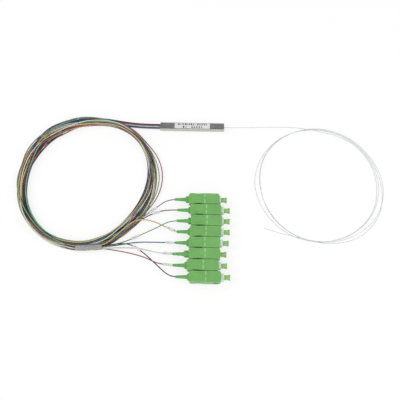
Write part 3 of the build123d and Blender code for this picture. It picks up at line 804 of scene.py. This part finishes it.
# Clear sleeve round the fibres where they leave the coil, a little slack and uneven
SLEEVE_RINGS = 13
SLEEVE_SIDES = 32
SLEEVE_SLACK = 0.06
SLEEVE_WAVES = 5
SLEEVE_TAPER = 0.1
SLEEVE_RIM = 0.08
SLEEVE_MARGIN = 0.005
film = clear_plastic(
    "clear_film",
    (206, 205, 200),
    variation=0.08,
    cloud_scale=500,
    gloss=(0.2, 0.45),
    clearness=0.45,
    ior=1.35,
    stretch=(0.15, 1, 1),
    bump=0.6,
)
guide = make_cord("guide", [(x, y, SLEEVE_HEIGHT) for x, y in SLEEVE_LINE], OUTPUT_DIAMETER, film)
line, lengths = line_of(guide)
bpy.data.objects.remove(guide)
vertices = []
for wall, steps in ((0.0, range(SLEEVE_RINGS)), (SLEEVE_WALL, reversed(range(SLEEVE_RINGS)))):
    for step in steps:
        share = step / (SLEEVE_RINGS - 1)
        distance = share * (lengths[-1] - 2 * SLEEVE_MARGIN) + SLEEVE_MARGIN
        point, aside, up = along_line(line, lengths, distance)
        rim = SLEEVE_RIM if step in (0, SLEEVE_RINGS - 1) and not wall else 0
        for side in range(SLEEVE_SIDES):
            turn = 2 * math.pi * side / SLEEVE_SIDES
            place = Vector((share * SLEEVE_WAVES, math.cos(turn), math.sin(turn) + SEED))
            slack = 1 + SLEEVE_SLACK * noise.noise(place) - SLEEVE_TAPER * share**4
            across = (SLEEVE_HALF_WIDTH * slack - wall - rim) * math.cos(turn)
            height = (SLEEVE_HALF_HEIGHT * slack - wall - rim) * math.sin(turn)
            vertices.append(point + aside * across + up * height)
sleeve = make_piece("bundle_sleeve", vertices, ring_faces(2 * SLEEVE_RINGS, SLEEVE_SIDES), film)
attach(sleeve, "module")

# Numbers on the module's label, upside down as in the photograph: text, width, height and middle
LABEL_TOP = 4.12
LABEL_PRINT = (
    ("1 2 3 4 5 6 7 8 9 10 11 12", 25.0, 1.8, 0.1, 1.4),
    ("1 2 3 4 5", 9.4, 1.7, 3.9, -1.2),
    ("1 8", 3.2, 1.7, -6.6, -1.2),
)
LABEL_BOLDNESS = 0.06
for number, (body, width, height, x, y) in enumerate(LABEL_PRINT, start=1):
    places, faces = text_mesh(body, width, height, LABEL_BOLDNESS)
    vertices = [(x - across, y - upward, LABEL_TOP + PRINT_LIFT / 2) for across, upward in places]
    row = make_piece(f"label_numbers_{number}", vertices, faces, label_ink, smooth=False)
    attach(row, "module")

# Two pale dashes across each grip's top
DASH_FROM_REAR = 13.1
DASH_WIDTH = 1.15
DASH_LENGTH = 3.0
DASH_GAP = 1.7
DASH_CORNER = 0.3
DASH_CORNER_STEPS = 3
DASH_PROUD = 0.03
dash_plastic = plastic("dash_pale_green", (152, 206, 140), roughness=0.45)
for plug in range(1, CHANNELS + 1):
    low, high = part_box(f"connector_grip_{plug}")
    rear, top, axis_y = low[0] / MM, high[2] / MM, (low[1] + high[1]) / 2 / MM
    vertices, faces = [], []
    for side in (-1, 1):
        middle = axis_y + side * (DASH_GAP + DASH_LENGTH) / 2
        outline = []
        for corner, (x_side, y_side) in enumerate(((1, 1), (-1, 1), (-1, -1), (1, -1))):
            x = rear + DASH_FROM_REAR + x_side * (DASH_WIDTH / 2 - DASH_CORNER)
            y = middle + y_side * (DASH_LENGTH / 2 - DASH_CORNER)
            for step in range(DASH_CORNER_STEPS + 1):
                turn = math.radians(90 * corner + 90 / DASH_CORNER_STEPS * step)
                outline.append((x + DASH_CORNER * math.cos(turn), y + DASH_CORNER * math.sin(turn)))
        first, count = len(vertices), len(outline)
        vertices += [(x, y, top - DASH_PROUD) for x, y in outline]
        vertices += [(x, y, top + DASH_PROUD) for x, y in outline]
        faces.append([first + count + k for k in range(count)])
        faces.append([first + k for k in reversed(range(count))])
        faces += [
            (first + k, first + (k + 1) % count, first + count + (k + 1) % count, first + count + k)
            for k in range(count)
        ]
    dash = make_piece(f"grip_dashes_{plug}", vertices, faces, dash_plastic, smooth=False)
    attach(dash, f"grip_{plug}")

# Materials of the CAD nodes
grip_green = plastic("grip_green", (121, 184, 102), roughness=0.42, grain=0.2, edge=0.12)
frame_green = plastic("frame_green", (214, 236, 212), roughness=0.4, edge=0.1)
boot_green = plastic("boot_green", (106, 177, 97), roughness=0.5, grain=0.25)
ceramic = plastic("ceramic", (238, 236, 226), roughness=0.12, grain=0.02, variation=0.02)
steel = brushed_steel("drawn_steel", (190, 191, 184), roughness=0.3)
spring_wire = brushed_steel("spring_wire", (190, 190, 188), roughness=0.3)
label_film = plastic(
    "label_film", (234, 236, 236), roughness=0.55, grain=0.3, grain_scale=1500, variation=0.02
)
resin = plastic("end_plug_resin", (52, 52, 54), roughness=0.45)
glass = plastic("ground_glass", (214, 226, 224), roughness=0.2)
cap_green = clear_plastic(
    "cap_green",
    (163, 216, 128),
    variation=0.08,
    cloud_scale=300,
    gloss=(0.35, 0.48),
    clearness=0.3,
    ior=1.5,
)
for plug in range(1, CHANNELS + 1):
    dress(f"connector_grip_{plug}", grip_green)
    dress(f"plug_frame_{plug}", frame_green)
    dress(f"ferrule_{plug}", ceramic)
    dress(f"dust_cap_{plug}", cap_green)
for node, material in (
    ("boots", boot_green),
    ("stop_bodies", frame_green),
    ("ferrule_springs", spring_wire),
    ("module_tube", steel),
    ("module_label", label_film),
    ("input_end_plug", resin),
    ("output_end_plug", resin),
    ("splitter_chip", glass),
    ("input_fibre_block", glass),
    ("output_fibre_block", glass),
    ("bare_input_fibre", ceramic),
    ("output_ribbon", ceramic),
):
    dress(node, material)

# Floor: white where the camera and gloss see it, the more so far out, and plain where it takes shadows
FLOOR_HALF_SIZE = 3000
FLOOR_DROP = 0.05
FLOOR_GREY = 0.9
FLOOR_GLOW = 0.7
GLOW_STRENGTH = 1.09
FADE_START = 250
FADE_END = 700
floor_paint, nodes, links, shader = new_material("floor")
shader.inputs["Base Color"].default_value = (FLOOR_GREY, FLOOR_GREY, FLOOR_GREY, 1)
shader.inputs["Roughness"].default_value = 0.9
shader.inputs["Specular IOR Level"].default_value = 0.2
glow = nodes.new("ShaderNodeEmission")
glow.inputs["Color"].default_value = (1, 1, 1, 1)
glow.inputs["Strength"].default_value = GLOW_STRENGTH
rays = nodes.new("ShaderNodeLightPath").outputs
seen = add_math(nodes, links, "MAXIMUM", rays["Is Camera Ray"], rays["Is Glossy Ray"])
seen = add_math(nodes, links, "MAXIMUM", seen, rays["Is Transmission Ray"])
place = nodes.new("ShaderNodeTexCoord")
distance = nodes.new("ShaderNodeVectorMath")
distance.operation = "LENGTH"
links.new(place.outputs["Object"], distance.inputs[0])
fade_span = (FADE_START * MM, FADE_END * MM)
fade = add_range(nodes, links, distance.outputs["Value"], low=FLOOR_GLOW, high=1, span=fade_span)
blend = nodes.new("ShaderNodeMixShader")
links.new(add_math(nodes, links, "MULTIPLY", seen, fade), blend.inputs["Fac"])
links.new(shader.outputs["BSDF"], blend.inputs[1])
links.new(glow.outputs["Emission"], blend.inputs[2])
links.new(blend.outputs["Shader"], nodes["Material Output"].inputs["Surface"])
floor_sides = ((-1, -1), (1, -1), (1, 1), (-1, 1))
corners = [(x * FLOOR_HALF_SIZE, y * FLOOR_HALF_SIZE, -FLOOR_DROP) for x, y in floor_sides]
floor = make_piece("floor", corners, [(0, 1, 2, 3)], floor_paint, smooth=False)

# World: white at the horizon and dim overhead, as in a room round a table
HORIZON_LEVEL = 1.0
ZENITH_LEVEL = 0.25
DIMMING_SPAN = (0.1, 0.9)
world = bpy.data.worlds.new("room")
world.use_nodes = True
bpy.context.scene.world = world
nodes, links = world.node_tree.nodes, world.node_tree.links
direction = nodes.new("ShaderNodeTexCoord")
upward = nodes.new("ShaderNodeSeparateXYZ")
links.new(direction.outputs["Generated"], upward.inputs["Vector"])
level = add_range(nodes, links, upward.outputs["Z"], HORIZON_LEVEL, ZENITH_LEVEL, span=DIMMING_SPAN)
links.new(level, nodes["Background"].inputs["Strength"])
nodes["Background"].inputs["Color"].default_value = (1, 1, 1, 1)

# Large soft lamps, clear of the camera's mirror image: name, place in metres, watts, size in metres
LAMPS = (
    ("lamp_left", (-0.85, 0.15, 0.75), 4.2, 0.8),
    ("lamp_right", (0.9, -0.2, 0.75), 3.6, 0.8),
    ("lamp_front", (0.1, -0.95, 0.7), 2.4, 0.8),
)
for name, place, power, size in LAMPS:
    lamp_data = bpy.data.lights.new(name, "AREA")
    lamp_data.energy = power
    lamp_data.size = size
    lamp = bpy.data.objects.new(name, lamp_data)
    lamp.location = place
    lamp.rotation_euler = (-lamp.location).to_track_quat("-Z", "Y").to_euler()
    bpy.context.collection.objects.link(lamp)

# Camera at the photograph's viewing angle
CAMERA_PLACE = Vector((11.77, -262.39, 471.18)) * MM
CAMERA_TARGET = Vector((8.03, -67.26, 0.0)) * MM
CAMERA_LENS = 55.6
SENSOR_WIDTH = 36
camera_data = bpy.data.cameras.new("camera")
camera_data.lens = CAMERA_LENS
camera_data.sensor_width = SENSOR_WIDTH
camera = bpy.data.objects.new("camera", camera_data)
camera.location = CAMERA_PLACE
camera.rotation_euler = (CAMERA_TARGET - CAMERA_PLACE).to_track_quat("-Z", "Y").to_euler()
bpy.context.collection.objects.link(camera)
bpy.context.scene.camera = camera
bpy.context.scene.view_settings.view_transform = "Standard"

bpy.context.view_layer.update()
